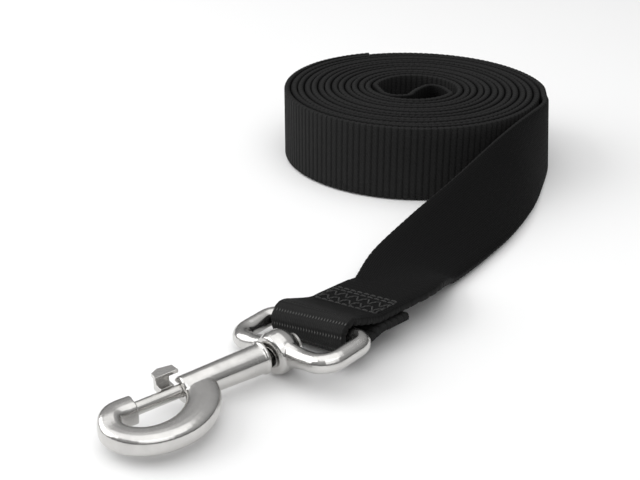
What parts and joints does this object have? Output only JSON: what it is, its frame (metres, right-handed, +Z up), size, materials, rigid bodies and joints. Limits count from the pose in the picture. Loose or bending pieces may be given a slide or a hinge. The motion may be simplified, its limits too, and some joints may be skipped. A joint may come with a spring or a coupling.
{
  "type": "lead rope",
  "caption": "Flat webbing lead rolled on its edge, with a loop sewn round the strap eye of a swivel bolt snap.",
  "frame": {"origin": "centre of the footprint, on the surface that the lead lies on", "axes": "+Z up out of that surface; the snap's hook points along -Y and the roll lies towards +Y"},
  "size_m": [0.156, 0.2204, 0.0253],
  "materials": {
    "webbing": "ribbed nylon weave",
    "nickel": "bright nickel plate over a die casting",
    "spring_steel": "drawn wire"
  },
  "bodies": {
    "webbing": {"webbing_roll": "webbing", "webbing_run": "webbing", "webbing_eye_loop": "webbing", "webbing_tail": "webbing"},
    "eye": {"strap_eye": "nickel"},
    "hook": {"snap_body": "nickel", "swivel_pin": "nickel", "bolt_spring": "spring_steel"},
    "bolt": {"bolt": "nickel", "thumb_piece": "nickel"}
  },
  "joints": [
    {"name": "eye_hinge", "type": "hinge", "parent": "webbing", "child": "eye", "pos_m": [0.05841, -0.04744, 0.00681], "axis": [-0.9771, -0.1448, -0.1561], "range_deg": [0, 100]},
    {"name": "snap_swivel", "type": "hinge", "parent": "eye", "child": "hook", "pos_m": [0.06054, -0.06554, 0.00595], "axis": [0, 0.9999, 0.0105], "continuous": true},
    {"name": "bolt_slide", "type": "slide", "parent": "hook", "child": "bolt", "axis": [0, 0.9999, 0.0105], "range_m": [0, 0.0085], "stiffness_N_per_m": 250, "springref_m": -0.004, "deforming": ["bolt_spring"]}
  ]
}
